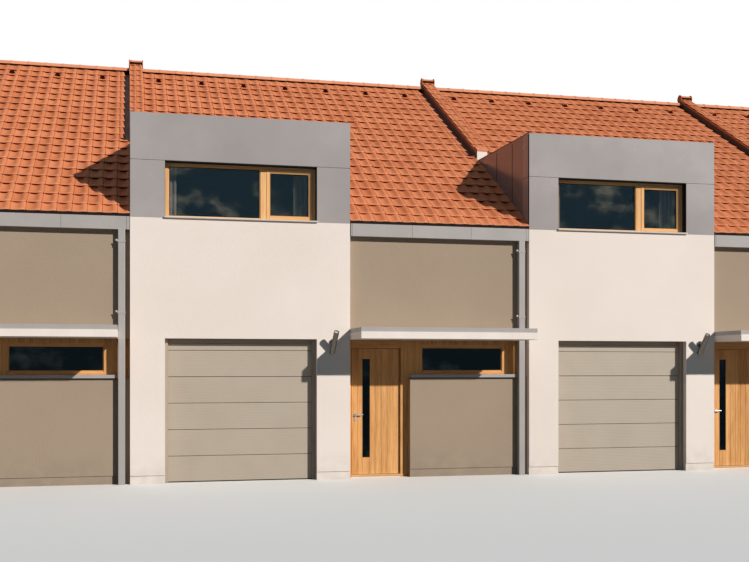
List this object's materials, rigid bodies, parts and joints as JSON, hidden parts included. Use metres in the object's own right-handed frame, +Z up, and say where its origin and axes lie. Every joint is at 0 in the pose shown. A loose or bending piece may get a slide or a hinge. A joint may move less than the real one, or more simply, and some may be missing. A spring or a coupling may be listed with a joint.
{
  "type": "terraced house row",
  "caption": "Terraced houses with rendered garage bays, box dormers, recessed timber entrances under thin canopies, and a pantiled gable roof.",
  "frame": {"origin": "on the ground under the middle of the row's bounding box", "axes": "+X along the row to the right of the entrance side, +Y from the entrance side to the rear, +Z up"},
  "size_m": [26.178, 13.96, 8.3736],
  "materials": {
    "white_render": "fine mineral render, painted off-white",
    "taupe_render": "fine mineral render, painted taupe",
    "grey_panel": "smooth satin cladding sheet",
    "timber": "golden larch, oiled, upright grain",
    "roof_tile": "matt terracotta pantile",
    "light_metal": "folded light grey sheet",
    "dark_metal": "dark grey sheet",
    "canopy_white": "smooth off-white fascia",
    "garage_door": "fine-grained taupe coating",
    "glass": "dark clear glazing",
    "concrete": "bare screed",
    "steel": "brushed"
  },
  "bodies": {
    "root": {"ground_floors": "concrete", "upper_floors": "concrete", "party_walls": "white_render", "bay_piers": "white_render", "bay_upper_walls": "white_render", "rear_apron_walls": "white_render", "recess_upper_walls": "taupe_render", "low_walls": "taupe_render", "low_wall_sills": "light_metal", "timber_screens": "timber", "band_window_frames": "timber", "door_frames": "timber", "door_sills": "light_metal", "dormer_side_panels": "grey_panel", "dormer_head_panels": "grey_panel", "dormer_cheeks": "grey_panel", "dormer_roofs": "light_metal", "bay_window_frames": "timber", "window_sashes": "timber", "window_glass": "glass", "window_sills": "canopy_white", "roof_slopes": "roof_tile", "ridge_tiles": "roof_tile", "wall_upstands": "dark_metal", "wall_copings": "roof_tile", "coping_ridge_tiles": "roof_tile", "gutters": "light_metal", "downpipes": "light_metal", "pipe_brackets": "light_metal", "canopies": "canopy_white", "canopy_trims": "light_metal", "garage_frames": "garage_door", "garage_doors": "garage_door", "wall_lamps": "steel", "door_hinges": "steel"},
    "door_1": {"door_leaf_1": "timber", "door_glass_1": "glass", "door_fittings_1": "steel"},
    "door_2": {"door_leaf_2": "timber", "door_glass_2": "glass", "door_fittings_2": "steel"},
    "door_3": {"door_leaf_3": "timber", "door_glass_3": "glass", "door_fittings_3": "steel"},
    "door_4": {"door_leaf_4": "timber", "door_glass_4": "glass", "door_fittings_4": "steel"}
  },
  "joints": [
    {"name": "door_1_hinge", "type": "hinge", "parent": "root", "child": "door_1", "pos_m": [-8.766, -5.828, 1.0725], "axis": [0, 0, -1], "range_deg": [0, 90]},
    {"name": "door_2_hinge", "type": "hinge", "parent": "root", "child": "door_2", "pos_m": [-2.296, -5.828, 1.0725], "axis": [0, 0, -1], "range_deg": [0, 90]},
    {"name": "door_3_hinge", "type": "hinge", "parent": "root", "child": "door_3", "pos_m": [4.174, -5.828, 1.0725], "axis": [0, 0, -1], "range_deg": [0, 90]},
    {"name": "door_4_hinge", "type": "hinge", "parent": "root", "child": "door_4", "pos_m": [10.644, -5.828, 1.0725], "axis": [0, 0, -1], "range_deg": [0, 90]}
  ]
}
